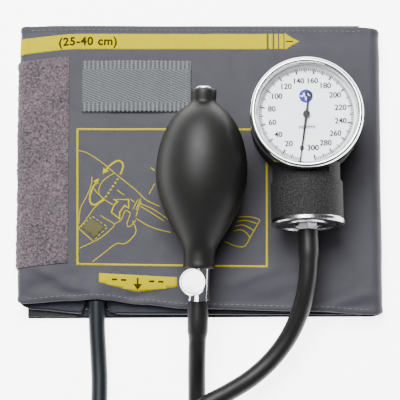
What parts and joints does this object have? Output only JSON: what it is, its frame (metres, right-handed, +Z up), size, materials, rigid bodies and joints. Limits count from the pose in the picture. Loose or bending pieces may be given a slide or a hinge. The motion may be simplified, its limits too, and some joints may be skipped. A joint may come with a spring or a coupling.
{
  "type": "upper arm blood pressure monitor",
  "caption": "Folded upper arm cuff with a squeeze bulb and release valve, a round dial pressure gauge and rubber tubes joined by a three-way connector.",
  "frame": {"origin": "middle of the folded cuff's underside, on the table; the tubes and their connector are left out of this box", "axes": "+Z up, +X towards the gauge's side of the cuff, +Y towards the cuff's upper edge, away from the tubes"},
  "size_m": [0.1832, 0.3467, 0.0575],
  "materials": {
    "nylon_cloth": "woven, matt",
    "lining_cloth": "coated, slightly shiny",
    "bladder_rubber": "matt",
    "loop_tape": "fuzzy",
    "hook_tape": "bristly",
    "webbing": "ribbed weave",
    "tube_rubber": "satin",
    "connector_plastic": "satin",
    "bulb_rubber": "satin",
    "chrome": "polished",
    "brass": "turned",
    "seal_rubber": "matt",
    "black_paint": "crackle black",
    "steel": "bright",
    "dial_white": "white with black scale",
    "ring_white": "white",
    "pointer_black": "satin black",
    "lens_clear": "clear, polished"
  },
  "bodies": {
    "monitor": {"cuff_shell": "nylon_cloth", "cuff_lining": "lining_cloth", "bladder": "bladder_rubber", "bladder_port": "bladder_rubber", "pile_patch": "loop_tape", "hook_patch": "hook_tape", "gauge_strap": "webbing", "cuff_tube": "tube_rubber", "bulb_tube": "tube_rubber", "gauge_tube": "tube_rubber", "y_connector": "connector_plastic", "bulb": "bulb_rubber", "intake_body": "chrome", "intake_cage": "brass", "valve_body": "chrome", "outlet_seat": "brass", "packing_nut": "chrome", "head_case": "black_paint", "drum_shell": "black_paint", "drum_cap": "chrome", "hose_nozzle": "chrome", "nozzle_nut": "brass", "capsule_rear": "brass", "movement_plate_lower": "brass", "movement_plate_upper": "brass", "plate_pillars": "brass", "plate_screws": "steel", "hairspring": "steel", "dial_plate": "dial_white", "dial_ring": "ring_white", "lens": "lens_clear", "lens_gasket": "seal_rubber", "bezel": "chrome", "back_clip": "chrome", "clip_rivets": "chrome"},
    "pointer_set": {"pointer": "pointer_black", "pointer_arbor": "brass"},
    "sector_set": {"sector_gear": "brass", "sector_arbor": "steel"},
    "capsule_set": {"capsule_front": "brass", "push_pin": "steel"},
    "valve_stem": {"packing_ring": "seal_rubber"},
    "valve_knob": {"release_knob": "chrome", "needle_spindle": "chrome"},
    "inlet_ball": {"intake_ball": "chrome"},
    "outlet_disc": {"outlet_flap": "seal_rubber"}
  },
  "joints": [
    {"name": "pointer_turn", "type": "hinge", "parent": "monitor", "child": "pointer_set", "pos_m": [0.052, 0.0208, 0.02946], "axis": [0.0003, -0.0174, -0.9998], "range_deg": [0, 342]},
    {"name": "sector_swing", "type": "hinge", "parent": "monitor", "child": "sector_set", "pos_m": [0.04893, 0.0074, 0.02969], "axis": [-0.0003, 0.0174, 0.9998], "range_deg": [0, 34.4]},
    {"name": "capsule_push", "type": "slide", "parent": "monitor", "child": "capsule_set", "axis": [-0.0174, 0.9997, -0.0175], "range_m": [0, 0.00203], "stiffness_N_per_m": 30, "springref_m": -0.003},
    {"name": "stem_lift", "type": "slide", "parent": "monitor", "child": "valve_stem", "axis": [-0.2116, -0.1303, 0.9686], "range_m": [0, 0.0014]},
    {"name": "knob_turn", "type": "hinge", "parent": "valve_stem", "child": "valve_knob", "pos_m": [-0.00069, -0.05905, 0.02722], "axis": [-0.2116, -0.1303, 0.9686], "range_deg": [0, 721]},
    {"name": "inlet_ball_lift", "type": "slide", "parent": "monitor", "child": "inlet_ball", "axis": [-0.0276, -0.9899, -0.1392], "range_m": [0, 0.001]},
    {"name": "outlet_flap_lift", "type": "slide", "parent": "monitor", "child": "outlet_disc", "axis": [-0.0276, -0.9899, -0.1392], "range_m": [0, 0.0012]}
  ],
  "couplings": [
    {"joint": "sector_swing", "follows": "capsule_push", "rad_per_m": 293.98},
    {"joint": "pointer_turn", "follows": "capsule_push", "rad_per_m": 2939.8},
    {"joint": "knob_turn", "follows": "stem_lift", "rad_per_m": 8976}
  ]
}
